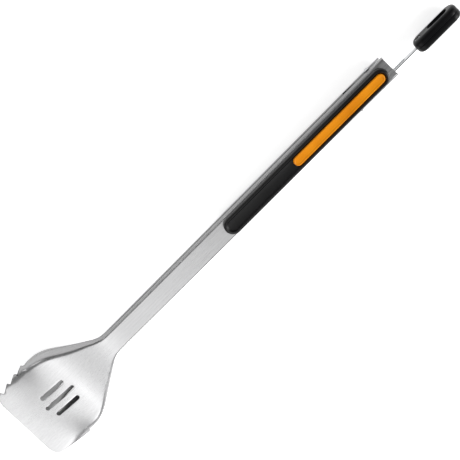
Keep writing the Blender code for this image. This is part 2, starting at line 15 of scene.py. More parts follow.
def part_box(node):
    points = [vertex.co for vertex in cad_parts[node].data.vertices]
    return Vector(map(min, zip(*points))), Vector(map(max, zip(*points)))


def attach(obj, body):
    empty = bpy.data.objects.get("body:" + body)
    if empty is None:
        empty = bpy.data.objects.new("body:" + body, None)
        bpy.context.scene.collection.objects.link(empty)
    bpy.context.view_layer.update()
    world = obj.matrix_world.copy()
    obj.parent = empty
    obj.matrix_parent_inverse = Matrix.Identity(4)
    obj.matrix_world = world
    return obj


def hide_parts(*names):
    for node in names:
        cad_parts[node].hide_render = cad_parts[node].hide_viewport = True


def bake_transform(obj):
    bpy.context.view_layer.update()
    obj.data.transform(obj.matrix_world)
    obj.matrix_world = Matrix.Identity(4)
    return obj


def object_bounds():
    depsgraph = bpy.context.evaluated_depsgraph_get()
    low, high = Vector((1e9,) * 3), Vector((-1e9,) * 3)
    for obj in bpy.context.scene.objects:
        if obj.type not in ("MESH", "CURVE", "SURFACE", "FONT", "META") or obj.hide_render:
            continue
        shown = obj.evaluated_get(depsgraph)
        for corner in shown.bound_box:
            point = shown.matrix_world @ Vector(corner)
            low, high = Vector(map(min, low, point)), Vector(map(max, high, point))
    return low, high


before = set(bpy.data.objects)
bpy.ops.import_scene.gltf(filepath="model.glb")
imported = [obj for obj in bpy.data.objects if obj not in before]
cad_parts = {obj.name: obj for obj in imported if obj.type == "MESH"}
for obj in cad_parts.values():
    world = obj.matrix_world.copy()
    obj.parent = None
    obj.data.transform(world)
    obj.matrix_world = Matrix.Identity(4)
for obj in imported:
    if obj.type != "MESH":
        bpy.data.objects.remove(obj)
cad_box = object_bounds()

MM = 0.001

FRONT_X = cad_box[0].x
MID_Z = (cad_box[0].z + cad_box[1].z) / 2
HALF_HEIGHT = cad_box[1].z - MID_Z


def place(x, y, z):
    """A point given from the front edge and the meeting plane, in the frame."""
    return Vector((FRONT_X + x, y, MID_Z + z))


def span(node, axis):
    """Where a CAD node starts and ends along one axis, from the front edge or the meeting plane."""
    low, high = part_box(node)
    shift = (FRONT_X, 0, MID_Z)[axis]
    return low[axis] - shift, high[axis] - shift


# Sizes read from the frame
ARM_END = span("upper_arm", 0)[1]
LOWER_ARM_END = span("lower_arm", 0)[1]
PIN_X = sum(span("hinge_pin", 0)) / 2
PIN_Z = sum(span("hinge_pin", 2)) / 2
GRIP_START, GRIP_END = span("upper_grip", 0)
GRIP_HALF_WIDTH = span("upper_grip", 1)[1]
GRIP_TOP = span("upper_grip", 2)[1]
INSERT_START, INSERT_END = span("upper_insert", 0)
INSERT_HALF_WIDTH = span("upper_insert", 1)[1]
TAB_START, TAB_END = span("pull_tab_left", 0)
TAB_LOW, TAB_HIGH = span("pull_tab_left", 2)
TAB_CENTRE_Z = (TAB_LOW + TAB_HIGH) / 2
TAB_HALF_HEIGHT = (TAB_HIGH - TAB_LOW) / 2
PLATE_LOW_Y, PLATE_HIGH_Y = span("lock_plate", 1)
PLATE_END_X = span("lock_plate", 0)[1]
PLATE_Y = (PLATE_LOW_Y + PLATE_HIGH_Y) / 2
TAB_HALF_THICKNESS = span("pull_tab_right", 1)[1] - PLATE_Y

# The folded arms
SHEET = 0.8 * MM
RIM_GAP = 0.4 * MM
SHAFT_RIM_GAP = 0.9 * MM
NECK_X = 93.5 * MM
NECK_HEIGHT = 5.4 * MM
END_HEIGHT = 7.25 * MM
ARM_HALF_WIDTH_FRONT = 8.6 * MM
ARM_HALF_WIDTH_END = 9.4 * MM
ARM_SHOULDER = 2 * MM
ARM_FLARE = radians(1)
FRONT_HALF_WIDTH = 24.75 * MM
CORNER_LENGTH = 6.2 * MM
DEEPEST_X = 54 * MM
FRONT_LIP = 1.5 * MM
FRONT_CROWN = 0.8
FRONT_SHOULDER = 9 * MM
DISH_SHOULDER = 4.5 * MM
DISH_FLARE = radians(8)
NECK_FLARE = radians(18)
TOOTH_TIPS = ((6.2 * MM, 34.8 * MM), (15.3 * MM, 36.5 * MM), (24.3 * MM, 38.0 * MM), (33.2 * MM, 39.0 * MM))
TOOTH_OVERHANG = 2 * MM
TOOTH_DEPTH = 2.8 * MM
TOOTH_DROP = 1.4 * MM
RIM_BEHIND_TEETH = (
    (34.6 * MM, 37.0 * MM),
    (38 * MM, 37.2 * MM),
    (44 * MM, 36.6 * MM),
    (50 * MM, 35.0 * MM),
    (57.9 * MM, 31.2 * MM),
    (65.8 * MM, 26.2 * MM),
    (73.8 * MM, 21.0 * MM),
    (81.7 * MM, 15.9 * MM),
    (88.5 * MM, 11.6 * MM),
    (NECK_X, 9.5 * MM),
    (98.5 * MM, 8.8 * MM),
    (106 * MM, ARM_HALF_WIDTH_FRONT),
)
DRAIN_SLOTS = ((-9 * MM, 12 * MM), (0, 15 * MM), (9 * MM, 12 * MM))
DRAIN_CENTRE_X = 37 * MM
DRAIN_HALF_WIDTH = 1.9 * MM
SHEET_EDGE = 0.12 * MM
BEYOND_WALLS = 12 * MM

# The hinge end
PIN_HOLE_RADIUS = 1.5 * MM
RELIEF_START, RELIEF_END = 364 * MM, 380 * MM
RELIEF_DEPTH = 4.5 * MM
EAR_INSET = 1.15 * MM
EAR_RADIUS = 3.3 * MM
EAR_TOP = 2.4 * MM
EAR_ROOT_LOW, EAR_ROOT_HIGH = 1.0 * MM, 2.6 * MM
LOBE_RADIUS = 2.6 * MM
SWING_START = 392.4 * MM
SWING_SLOPE = 0.135
STUD_X, STUD_Z = 366 * MM, 2.9 * MM
GUIDE_X = 398 * MM
STUD_RADIUS = 1.0 * MM
STUD_HOLE_RADIUS = 1.3 * MM
PIN_RADIUS = 1.2 * MM
PIN_HEAD_RADIUS = 2.7 * MM
PIN_HEAD_HEIGHT = 1.4 * MM
CLOSED_END_RADIUS = 2.4 * MM
CLOSED_END_HEIGHT = 1.0 * MM
WASHER_ROOM = 0.8 * MM
GUIDE_HEAD_RADIUS = 1.9 * MM
STUD_HEAD_RADIUS = 1.8 * MM
SMALL_HEAD_HEIGHT = 0.8 * MM
COIL_RADIUS = 3.1 * MM
WIRE_RADIUS = 0.5 * MM
COIL_TURNS = 6.5
COIL_START_Y, COIL_END_Y = 5.2 * MM, -3.9 * MM
LEG_END_X = 366 * MM
LEG_END_Z = 5.3 * MM

# Grips, inserts and tab
GAP = 0.3 * MM
TROUGH_DEPTH = 1.5 * MM
GRIP_ROUNDING = 2.0 * MM
INSERT_ROUNDING = 0.85 * MM
PEG_XS = (240 * MM, 298 * MM, 354 * MM)
PEG_RADIUS = 1.9 * MM
PEG_HOLE_RADIUS = 2.2 * MM
BARB_RADIUS = 2.8 * MM
TAB_CORNER = 8 * MM
TAB_ROUNDING = 3.4 * MM
TAB_HOLE_ROUNDING = 0.5 * MM
BEYOND_TAB = 8 * MM
TAB_HOLE_START, TAB_HOLE_END = 447 * MM, 468 * MM
TAB_HOLE_HALF_HEIGHT = 4.4 * MM
TAB_RIVET_XS = (434 * MM, 438 * MM)
TAB_RIVET_Z = -1.2 * MM
TAB_RIVET_RADIUS = 0.85 * MM
TAB_RIVET_HEAD_RADIUS = 1.6 * MM
SEAT_RADIUS = 1.9 * MM
SEAT_DEPTH = 1.2 * MM
PLATE_THICKNESS = PLATE_HIGH_Y - PLATE_LOW_Y
TONGUE_LOW, TONGUE_HIGH = -4.2 * MM, 1.5 * MM
LOCK_TRAVEL = 18 * MM
SLOT_HALF_HEIGHT = 1.55 * MM

# The photograph's view
VIEW_BACK = Vector((0.095, 0.26, 0.961)).normalized()
ARM_ANGLE = radians(44.98)
VIEW_DISTANCE = 4.0
VIEW_WIDTH = 0.362
VIEW_CENTRE = (225.4 * MM, -3.6 * MM, 0)
SENSOR_WIDTH_MM = 36

# The light: the room and the floor, a row of soft boxes over the arms and five more around them
ROOM_STRENGTH = 0.2
FLOOR_COLOUR = (0.9, 0.9, 0.9)
FLOOR_GLOW = 0.72
FLOOR_REACH = 6
FLOOR_DROP = 0.02 * MM
PANEL_HEIGHT = 0.32
PANEL_NEAR_Y = 0.06
# Start and end along X, far edge in Y, and radiance
PANELS = (
    (-0.6, -0.4, -0.5, 1.0),
    (-0.4, -0.25, -0.5, 1.15),
    (-0.25, -0.17, -0.5, 1.55),
    (-0.17, -0.09, -0.32, 1.15),
    (-0.09, -0.02, -0.3, 0.85),
    (-0.02, 0.08, -0.3, 0.55),
)
# Name, place, aim, size and radiance
SIDE_LIGHTS = (
    ("side_right", (-0.6, -0.95, 0.9), (-0.3, 0, 0), (1.0, 0.5), 1.0),
    ("side_left", (-0.5, 1.3, 0.5), (-0.4, 0, 0), (1.0, 0.2), 4),
    ("before_scoops", (-1.0, -0.2, 0.4), (-0.2, 0, 0), (0.6, 0.3), 0.2),
    ("beside_tab", (0.42, -0.5, 0.3), (0.22, 0, 0), (0.2, 0.25), 5),
    ("beyond_tab", (0.85, -0.6, 0.5), (0.15, 0, 0), (0.5, 0.5), 10),
)

# Base colours
SHEET_STEEL = (0.64, 0.64, 0.645)
PLATE_STEEL = (0.56, 0.57, 0.58)
PIN_STEEL = (0.48, 0.49, 0.5)
WIRE_STEEL = (0.36, 0.36, 0.38)
GRIP_BLACK = (0.002, 0.002, 0.0022)
TAB_BLACK = (0.004, 0.004, 0.0045)
ORANGE = (1.0, 0.31, 0.0)


# Materials


def node_material(name, base, roughness, metallic):
    """A Principled material, with its node tree, its shader and a maker of further nodes."""
    made = bpy.data.materials.new(name)
    made.use_nodes = True
    tree = made.node_tree
    shader = tree.nodes["Principled BSDF"]
    shader.inputs["Base Color"].default_value = (*base, 1)
    shader.inputs["Roughness"].default_value = roughness
    shader.inputs["Metallic"].default_value = metallic

    def node(kind, links=(), **values):
        """A node of a kind, its inputs linked from (input, output socket) pairs and set from values."""
        new = tree.nodes.new("ShaderNode" + kind)
        for key, value in values.items():
            if hasattr(new, key):
                setattr(new, key, value)
            else:
                new.inputs[key.replace("_", " ")].default_value = value
        for socket, source in links:
            tree.links.new(source, new.inputs[socket])
        return new

    return made, tree, shader, node


def stretched_noise(node, scale, stretch, detail=3):
    """Noise drawn out by stretch (x, y, z), in the object's own metres."""
    where = node("TexCoord").outputs["Object"]
    mapped = node("Mapping", [("Vector", where)])
    mapped.inputs["Scale"].default_value = stretch
    return node("TexNoise", [("Vector", mapped.outputs["Vector"])], Scale=scale, Detail=detail).outputs["Fac"]


def varied(node, source, base, *stops):
    """The base colour times a share, for the (source, share) pairs of the darkest and the lightest tone."""
    made = node("ValToRGB", [("Fac", source)])
    for element, (position, share) in zip(made.color_ramp.elements, stops):
        element.position = position
        element.color = (*[min(c * share, 1) for c in base], 1)
    return made.outputs["Color"]


def change(node, source, start, end, low, high, curve="LINEAR"):
    """A change from low to high as source goes from start to end."""
    made = node("MapRange", [("Value", source)], interpolation_type=curve)
    for socket, value in (("From Min", start), ("From Max", end), ("To Min", low), ("To Max", high)):
        made.inputs[socket].default_value = value
    return made.outputs["Result"]


def add_bump(tree, shader, node, height, strength, distance):
    """Raises the surface by a noise."""
    bump = node("Bump", [("Height", height)], Strength=strength, Distance=distance)
    tree.links.new(bump.outputs["Normal"], shader.inputs["Normal"])


def brushed_steel(name, base, rough=(0.26, 0.38), grain=1.0, wall=1.0, shaft=1.0):
    """Sheet steel with long brush lines along the arm, faint smudges and a fine bump.

    The bent walls are darker by wall, and the shafts behind the scoops are darker by shaft; both are painted
    shade in the base colour.
    """
    made, tree, shader, node = node_material(name, base, 0.3, 1)
    streaks = stretched_noise(node, 60, (0.4, 14, 14), 4)
    hairs = stretched_noise(node, 60, (2.5, 70, 70), 4)
    smudge = stretched_noise(node, 22, (1, 1.6, 1.6), 4)
    mixed = node("Mix", [("A", streaks), ("B", hairs)], Factor=0.6).outputs["Result"]
    darkest, lightest = 0.36, 0.64
    tone = varied(node, mixed, base, (darkest, 0.88), (lightest, 1.08))
    here = node("TexCoord")
    normal = node("SeparateXYZ", [("Vector", here.outputs["Normal"])])
    facing_up = node("Math", [(0, normal.outputs["Z"])], operation="ABSOLUTE").outputs["Value"]
    along = node("SeparateXYZ", [("Vector", here.outputs["Object"])]).outputs["X"]
    # Painted shade: the base colour is darkened where the normal turns away from up, on the bent walls and
    # shoulders, and along the shafts behind the neck.
    wall_up, face_up = 0.55, 0.97
    wall_painted_shade = change(node, facing_up, wall_up, face_up, wall, 1, "SMOOTHSTEP")
    neck, fade = place(NECK_X, 0, 0).x, 20 * MM
    shaft_painted_shade = change(node, along, neck - fade, neck + fade, 1, shaft, "SMOOTHSTEP")
    share = node("Math", [(0, wall_painted_shade), (1, shaft_painted_shade)], operation="MULTIPLY").outputs["Value"]
    painted_shade_tone = node("VectorMath", [("Vector", tone), ("Scale", share)], operation="SCALE")
    tree.links.new(painted_shade_tone.outputs["Vector"], shader.inputs["Base Color"])
    gloss = change(node, mixed, darkest, lightest, *rough)
    worn = change(node, smudge, 0.35, 0.7, -0.04, 0.05)
    total = node("Math", [(0, gloss), (1, worn)], operation="ADD")
    tree.links.new(total.outputs["Value"], shader.inputs["Roughness"])
    add_bump(tree, shader, node, hairs, 0.3 * grain, 0.02 * MM)
    return made


def turned_steel(name, base, rough):
    """Small turned or drawn steel parts, with fine marks and slightly uneven gloss."""
    made, tree, shader, node = node_material(name, base, rough, 1)
    marks = stretched_noise(node, 900, (1, 1, 1), 4)
    gloss = change(node, marks, 0.3, 0.7, rough - 0.08, rough + 0.1)
    tree.links.new(gloss, shader.inputs["Roughness"])
    add_bump(tree, shader, node, marks, 0.2, 0.03 * MM)
    return made


def moulded(name, base, rough, speckle, depth, shine):
    """Moulded rubber or plastic with a fine spark-eroded texture and gentle variation of gloss."""
    made, tree, shader, node = node_material(name, base, rough, 0)
    texture = stretched_noise(node, speckle, (1, 1, 1), 2)
    clouds = stretched_noise(node, 45, (1, 1, 1), 3)
    tree.links.new(varied(node, clouds, base, (0.3, 0.85), (0.7, 1.12)), shader.inputs["Base Color"])
    tree.links.new(change(node, clouds, 0.3, 0.7, rough - 0.06, rough + 0.06), shader.inputs["Roughness"])
    add_bump(tree, shader, node, texture, 0.35, depth)
    shader.inputs["Specular IOR Level"].default_value = shine
    return made


def assign(obj, material):
    """Makes a material the object's only one."""
    obj.data.materials.clear()
    obj.data.materials.append(material)


# Mesh helpers


def added(name, data):
    """A new object in the scene."""
    obj = bpy.data.objects.new(name, data)
    bpy.context.collection.objects.link(obj)
    return obj


def mesh_piece(name, points, faces, material=None):
    """An object from points given from the front edge and the meeting plane."""
    mesh = bpy.data.meshes.new(name)
    mesh.from_pydata([place(*p) for p in points], [], faces)
    work = bmesh.new()
    work.from_mesh(mesh)
    bmesh.ops.recalc_face_normals(work, faces=work.faces)
    work.to_mesh(mesh)
    work.free()
    if material:
        mesh.materials.append(material)
    return added(name, mesh)


def merged(name, shapes):
    """Several closed shapes, each (points, faces), as one mesh."""
    points, faces = [], []
    for shape_points, shape_faces in shapes:
        start = len(points)
        points += shape_points
        faces += [tuple(i + start for i in face) for face in shape_faces]
    return mesh_piece(name, points, faces)


def apply_modifiers(obj):
    """Keeps the shape that the modifiers give and removes them."""
    graph = bpy.context.evaluated_depsgraph_get()
    shaped = bpy.data.meshes.new_from_object(obj.evaluated_get(graph))
    obj.modifiers.clear()
    obj.data = shaped


def boolean(target, tool, operation="DIFFERENCE"):
    """Cuts or adds a tool, and deletes the tool."""
    modifier = target.modifiers.new(tool.name, "BOOLEAN")
    modifier.operation = operation
    modifier.solver = "EXACT"
    modifier.object = tool
    apply_modifiers(target)
    bpy.data.objects.remove(tool, do_unlink=True)


def smoothed(obj, angle):
    """Smooth shading, but for the edges sharper than an angle in degrees."""
    obj.data.shade_smooth()
    obj.data.set_sharp_from_angle(angle=radians(angle))
    return obj


def bevelled(obj, width, segments=2, angle=35):
    """Rounds the sharp edges and shades the rest smooth."""
    modifier = obj.modifiers.new("edges", "BEVEL")
    modifier.width = width
    modifier.segments = segments
    modifier.limit_method = "ANGLE"
    modifier.angle_limit = radians(angle)
    modifier.harden_normals = False
    apply_modifiers(obj)
    return smoothed(obj, angle)


def arc(centre, radius, start, end, steps):
    """Points round a centre from one angle to another."""
    angles = [start + (end - start) * i / steps for i in range(steps + 1)]
    return [(centre[0] + radius * cos(a), centre[1] + radius * sin(a)) for a in angles]


def circle(centre, radius, steps):
    """A full round outline."""
    return arc(centre, radius, 0, 2 * pi, steps)[:-1]


def quarter_round(radius, steps, first=1):
    """The (inset, drop below the top) steps of a rounded edge, from the side up to the top."""
    angles = [pi / 2 * i / steps for i in range(first, steps + 1)]
    return [(radius * (1 - cos(a)), radius * (1 - sin(a))) for a in angles]


def rectangle(start, end, low, high):
    return [(start, low), (end, low), (end, high), (start, high)]


def stadium(start, end, centre, half_width, inset=0, steps=24):
    """A round-ended outline along the first axis."""
    radius = half_width - inset
    right = arc((end - half_width, centre), radius, -pi / 2, pi / 2, steps)
    left = arc((start + half_width, centre), radius, pi / 2, 3 * pi / 2, steps)
    return right + left


def rounded_box(start, end, centre, half_height, corner, inset=0, steps=14):
    """A rectangle's outline with round corners."""
    outline = []
    radius = corner - inset
    for x, z, first in (
        (end - corner, centre - half_height + corner, -pi / 2),
        (end - corner, centre + half_height - corner, 0),
        (start + corner, centre + half_height - corner, pi / 2),
        (start + corner, centre - half_height + corner, pi),
    ):
        outline += arc((x, z), radius, first, first + pi / 2, steps)
    return outline


def stacked(levels, axis):
    """A closed solid along Y or Z through outlines of equal length, each (outline, height or height of x)."""
    points = []
    for outline, height in levels:
        for u, v in outline:
            h = height(u) if callable(height) else height
            points.append((u, h, v) if axis == "Y" else (u, v, h))
    count = len(levels[0][0])
    faces = [tuple(range(count))[::-1]]
    for level in range(len(levels) - 1):
        low, high = level * count, (level + 1) * count
        for i in range(count):
            j = (i + 1) % count
            faces.append((low + i, low + j, high + j, high + i))
    top = (len(levels) - 1) * count
    faces.append(tuple(range(top, top + count)))
    return points, faces


def prism(outline, axis, low, high):
    """A straight solid between two heights along Y or Z."""
    return stacked([(outline, low), (outline, high)], axis)


def rod(profile, x, other, axis, steps=40):
    """A solid turned about a line, from the (along, radius) steps between its two flat ends."""
    return stacked([(circle((x, other), radius, steps), along) for along, radius in profile], axis)


# The arms


def ease(x, start, end):
    """A smooth change from 0 at start to 1 at end."""
    share = min(max((x - start) / (end - start), 0), 1)
    return share * share * (3 - 2 * share)


def face_height(x):
    """Height of an arm's outer face from the meeting plane."""
    if x < DEEPEST_X:
        return FRONT_LIP + (HALF_HEIGHT - FRONT_LIP) * (1 - cos(pi * x / DEEPEST_X)) / 2
    if x < NECK_X:
        turn = pi * (x - DEEPEST_X) / (NECK_X - DEEPEST_X)
        return NECK_HEIGHT + (HALF_HEIGHT - NECK_HEIGHT) * (1 + cos(turn)) / 2
    return NECK_HEIGHT + (END_HEIGHT - NECK_HEIGHT) * (x - NECK_X) / (ARM_END - NECK_X)


def smooth_through(knots, x):
    """A smooth curve through (x, value) knots, with level-limited slopes so that it never overshoots."""
    for i in range(len(knots) - 1):
        (x0, v0), (x1, v1) = knots[i], knots[i + 1]
        if x <= x1:
            break
    here = (v1 - v0) / (x1 - x0)

    def slope(k):
        """Slope at the knot shared with span k, or this span's own slope where there is no such span."""
        if k < 0 or k >= len(knots) - 1:
            return here
        other = (knots[k + 1][1] - knots[k][1]) / (knots[k + 1][0] - knots[k][0])
        return 0 if other * here <= 0 else 2 * other * here / (other + here)

    length = x1 - x0
    t = min(max((x - x0) / length, 0), 1)
    m0, m1 = slope(i - 1) * length, slope(i + 1) * length
    return (
        (2 * t**3 - 3 * t**2 + 1) * v0
        + (t**3 - 2 * t**2 + t) * m0
        + (3 * t**2 - 2 * t**3) * v1
        + (t**3 - t**2) * m1
    )


def rim_height(x):
    """Height of an arm's rim from the meeting plane."""
    return RIM_GAP + (SHAFT_RIM_GAP - RIM_GAP) * ease(x, 85 * MM, 125 * MM)


def half_width(x):
    """Half of an arm's width at its rim, before the teeth are cut."""
    if x < CORNER_LENGTH:
        back = (CORNER_LENGTH - x) / CORNER_LENGTH
        return FRONT_HALF_WIDTH + (TOOTH_TIPS[0][1] - FRONT_HALF_WIDTH) * sqrt(1 - back * back)
    if x <= RIM_BEHIND_TEETH[0][0]:
        knots = (*TOOTH_TIPS, RIM_BEHIND_TEETH[0])
        for (x0, w0), (x1, w1) in zip(knots, knots[1:]):
            if x <= x1:
                return w0 + (w1 - w0) * (x - x0) / (x1 - x0)
    if x <= RIM_BEHIND_TEETH[-1][0]:
        return smooth_through(RIM_BEHIND_TEETH, x)
    start = RIM_BEHIND_TEETH[-1][0]
    widening = (ARM_HALF_WIDTH_END - ARM_HALF_WIDTH_FRONT) * (x - start) / (ARM_END - start)
    return ARM_HALF_WIDTH_FRONT + widening


def flare(x):
    """Angle of the side walls from upright."""
    lean = DISH_FLARE + (NECK_FLARE - DISH_FLARE) * ease(x, 52 * MM, 78 * MM)
    return lean + (ARM_FLARE - lean) * ease(x, 84 * MM, 103 * MM)


def shoulder(x):
    """Radius of the bend between an arm's face and its walls."""
    radius = FRONT_SHOULDER + (DISH_SHOULDER - FRONT_SHOULDER) * ease(x, 0, 40 * MM)
    return radius + (ARM_SHOULDER - radius) * ease(x, 60 * MM, NECK_X)


def crown(x):
    """How far the face has fallen at an arm's rims, as a share of its height."""
    return FRONT_CROWN * (1 - ease(x, 10 * MM, 48 * MM))


def tooth_overhang(x):
    """How far the toothed rim stands out from the smooth line of the wall."""
    first, last, behind = TOOTH_TIPS[0][0], TOOTH_TIPS[3][0], RIM_BEHIND_TEETH[0][0]
    if x <= last:
        return TOOTH_OVERHANG * max(x - first, 0) / (last - first)
    return TOOTH_OVERHANG * max(behind - x, 0) / (behind - last)


def section(x, width, wall_steps=3, arc_steps=9, face_steps=12):
    """Outer and inner lines of the folded sheet at x, each from the -Y rim over the face to the +Y rim."""
    height, rim = face_height(x), rim_height(x)
    corner_y = width - tooth_overhang(x) - (height - rim) * tan(flare(x))
    lean = atan2(width - corner_y, height - rim)
    room = (height - rim - SHEET * sin(lean)) / (1 - sin(lean))
    radius = min(shoulder(x), 0.9 * room)
    centre = (corner_y - radius * tan((pi / 2 - lean) / 2), height - radius)
    halves = []
    for offset in (0, SHEET):
        bend = arc(centre, radius - offset, lean, pi / 2, arc_steps)
        foot = Vector((width - offset / cos(lean), rim))
        wall = [tuple(foot.lerp(Vector(bend[0]), i / wall_steps)) for i in range(wall_steps)]
        edge, top = bend[-1]
        halves.append(wall + bend + [(edge * (1 - i / face_steps), top) for i in range(1, face_steps + 1)])
    side = width - tooth_overhang(x)
    falls = [crown(x) * (z - rim) * (y / side) ** 2 for y, z in halves[0]]
    both = []
    for half in halves:
        half = [(y, max(z - fall, rim)) for (y, z), fall in zip(half, falls)]
        both.append([(-y, z) for y, z in half] + half[-2::-1])
    return both


def arm_stations(end):
    """Places along an arm where its section is drawn, close together in the scoop."""
    corner = [CORNER_LENGTH * (1 - cos(pi / 2 * i / 8)) for i in range(9)]
    step = (TOOTH_TIPS[3][0] - CORNER_LENGTH) / 16
    teeth = [CORNER_LENGTH + step * i for i in range(1, 17)] + [33.9 * MM, RIM_BEHIND_TEETH[0][0]]
    dish = [36 * MM + 1.6 * MM * i for i in range(47)]
    shaft = [115 * MM + 14 * MM * i for i in range(18)]
    return corner + teeth + dish + shaft + [365 * MM, 378 * MM, PIN_X, end]


def arm_shell(name, side, end):
    """A folded sheet arm, above (side 1) or below (side -1) the meeting plane."""
    points, faces, count = [], [], 0
    for x in arm_stations(end):
        outer, inner = section(x, half_width(x))
        ring = outer + inner[::-1]
        count = len(ring)
        points += [(x, y, side * z) for y, z in ring]
    last = len(points) - count
    for low in range(0, last, count):
        for i in range(count):
            j = (i + 1) % count
            faces.append((low + i, low + j, low + count + j, low + count + i))
    for i in range(count // 2 - 1):
        a, b = i, count - 1 - i
        faces.append((a, a + 1, b - 1, b))
        faces.append((last + a, last + b, last + b - 1, last + a + 1))
    return mesh_piece(name, points, faces)


def tooth_notches():
    """Wedges between one tooth's tip and the next, on both rims of a scoop."""
    shapes = []
    beyond = 3 * MM
    for side in (1, -1):
        for (x0, w0), (x1, w1) in zip(TOOTH_TIPS, TOOTH_TIPS[1:]):
            notch = [(x0, w0), (x0 + TOOTH_DROP, w0 - TOOTH_DEPTH), (x1, w1)]
            outline = notch + [(x1, w1 + beyond), (x0, w0 + beyond)]
            shapes.append(prism([(x, side * y) for x, y in outline], "Z", -HALF_HEIGHT, HALF_HEIGHT))
    return merged("tooth_notches", shapes)


def drain_slots():
    """Three round-ended slots through a scoop."""
    shapes = []
    for y, half in DRAIN_SLOTS:
        outline = stadium(DRAIN_CENTRE_X - half, DRAIN_CENTRE_X + half, y, DRAIN_HALF_WIDTH, steps=12)
        shapes.append(prism(outline, "Z", -HALF_HEIGHT - MM, HALF_HEIGHT + MM))
    return merged("drain_slots", shapes)


def both_walls(name, outline, inner, outer):
    """One flat piece for each side wall, between two distances from the middle."""
    return merged(name, [prism(outline, "Y", inner, outer), prism(outline, "Y", -outer, -inner)])


def ears():
    """Round-ended plates round the pin, which hang inside the lower arm's walls."""
    low_end = arc((PIN_X, PIN_Z), EAR_RADIUS, pi, 2 * pi, 28)
    outline = low_end + [(low_end[-1][0], EAR_TOP), (low_end[0][0], EAR_TOP)]
    outer = half_width(PIN_X) - EAR_INSET
    return both_walls("ears", outline, outer - SHEET, outer)


def ear_roots():
    """The steps in the sheet that join the ears to the upper arm's walls."""
    reach = EAR_RADIUS - 0.5 * MM
    outline = rectangle(PIN_X - reach, PIN_X + reach, EAR_ROOT_LOW, EAR_ROOT_HIGH)
    outer = half_width(PIN_X)
    return both_walls("ear_roots", outline, outer - EAR_INSET - SHEET / 2, outer - SHEET / 2)


def lobe_room():
    """Room in the upper arm's rims for the lower arm's lobes."""
    outline = circle((PIN_X, PIN_Z), LOBE_RADIUS + GAP, 40)
    return both_walls("lobe_room", outline, half_width(PIN_X) - SHEET - GAP / 2, BEYOND_WALLS)


def lobes():
    """Round tops on the lower arm's walls round the pin."""
    round_top = arc((PIN_X, PIN_Z), LOBE_RADIUS, 0, pi, 28)
    root, skin = -5 * MM, 0.1 * MM
    outline = round_top + [(PIN_X - LOBE_RADIUS, root), (PIN_X + LOBE_RADIUS, root)]
    outer = half_width(PIN_X)
    return both_walls("lobes", outline, outer - SHEET + skin, outer - skin)


def swing_room(side):
    """A slope on a rim behind the pin, so that the ends of the arms clear each other as they open."""
    far = ARM_END + MM
    rim = side * RIM_GAP
    slope = side * SWING_SLOPE * (far - SWING_START)
    outline = [(SWING_START, -side * MM), (SWING_START, rim), (far, rim + slope), (far, -side * MM)]
    return both_walls("swing_room", outline, half_width(PIN_X) - SHEET - GAP / 2, BEYOND_WALLS)


def hinge_relief():
    """The wedge in the lower arm's rims in front of the pin."""
    wedge = [(RELIEF_START, MM), (RELIEF_START, -RELIEF_DEPTH), (RELIEF_END, -RIM_GAP), (RELIEF_END, MM)]
    return merged("hinge_relief", [prism(wedge, "Y", -BEYOND_WALLS, BEYOND_WALLS)])


def peg_holes():
    """Holes through an arm's face for the grip's pegs."""
    profile = [(-HALF_HEIGHT, PEG_HOLE_RADIUS), (HALF_HEIGHT, PEG_HOLE_RADIUS)]
    return merged("peg_holes", [rod(profile, x, 0, "Z", 32) for x in PEG_XS])


def pin_hole():
    """The hinge pin's hole through both walls."""
    profile = [(-BEYOND_WALLS, PIN_HOLE_RADIUS), (BEYOND_WALLS, PIN_HOLE_RADIUS)]
    return merged("pin_hole", [rod(profile, PIN_X, PIN_Z, "Y")])


def side_hole(x, z):
    """A pin's hole through the -Y wall only."""
    profile = [(-BEYOND_WALLS, STUD_HOLE_RADIUS), (-7 * MM, STUD_HOLE_RADIUS)]
    return merged("side_hole", [rod(profile, x, z, "Y", 24)])


def finished_arm(shell, tools, steel):
    """Cuts the tools out of a shell, rounds the sheet's edges and gives it its material."""
    for tool in tools:
        boolean(shell, tool)
    bevelled(shell, SHEET_EDGE)
    assign(shell, steel)
    return shell


def upper_arm(steel):
    """The arm with the ears, and with room for the lower arm's lobes."""
    shell = arm_shell("upper_arm_sheet", 1, ARM_END)
    boolean(shell, ears(), "UNION")
    boolean(shell, ear_roots(), "UNION")
    hinge_tools = [lobe_room(), swing_room(1), pin_hole(), side_hole(STUD_X, STUD_Z)]
    return finished_arm(shell, hinge_tools + [tooth_notches(), drain_slots(), peg_holes()], steel)


def lower_arm(steel):
    """The arm with the lobes, and with the relief in front of the hinge."""
    shell = arm_shell("lower_arm_sheet", -1, LOWER_ARM_END)
    boolean(shell, lobes(), "UNION")
    hinge_tools = [swing_room(-1), pin_hole(), hinge_relief(), side_hole(GUIDE_X, PIN_Z)]
    return finished_arm(shell, hinge_tools + [tooth_notches(), drain_slots(), peg_holes()], steel)


# Grips and inserts


def grip(name, side, rubber):
    """A soft grip with a rounded border round a shallow trough."""

    def level(inset, height):
        return stadium(GRIP_START, GRIP_END, 0, GRIP_HALF_WIDTH, inset), height

    foot = 0.05 * MM
    levels = [
        level(0.6 * MM, lambda x: side * (face_height(x) + foot)),
        level(0.15 * MM, lambda x: side * (face_height(x) + foot + 0.15 * MM)),
        level(0, lambda x: side * (face_height(x) + 0.6 * MM)),
        level(0, lambda x: side * (face_height(x) + 1.3 * MM)),
    ]
    trough_side = ((2.3, 0.06), (2.6, 0.25), (2.85, 0.55), (3.05, 1.0), (3.2, 1.3), (3.6, 1.5))
    for inset, drop in quarter_round(GRIP_ROUNDING, 6) + [(a * MM, b * MM) for a, b in trough_side]:
        levels.append(level(inset, side * (GRIP_TOP - drop)))
    obj = mesh_piece(name, *stacked(levels, "Z"))
    boolean(obj, merged("pegs", [barbed_peg(x, side) for x in PEG_XS]), "UNION")
    assign(obj, rubber)
    return smoothed(obj, 50)


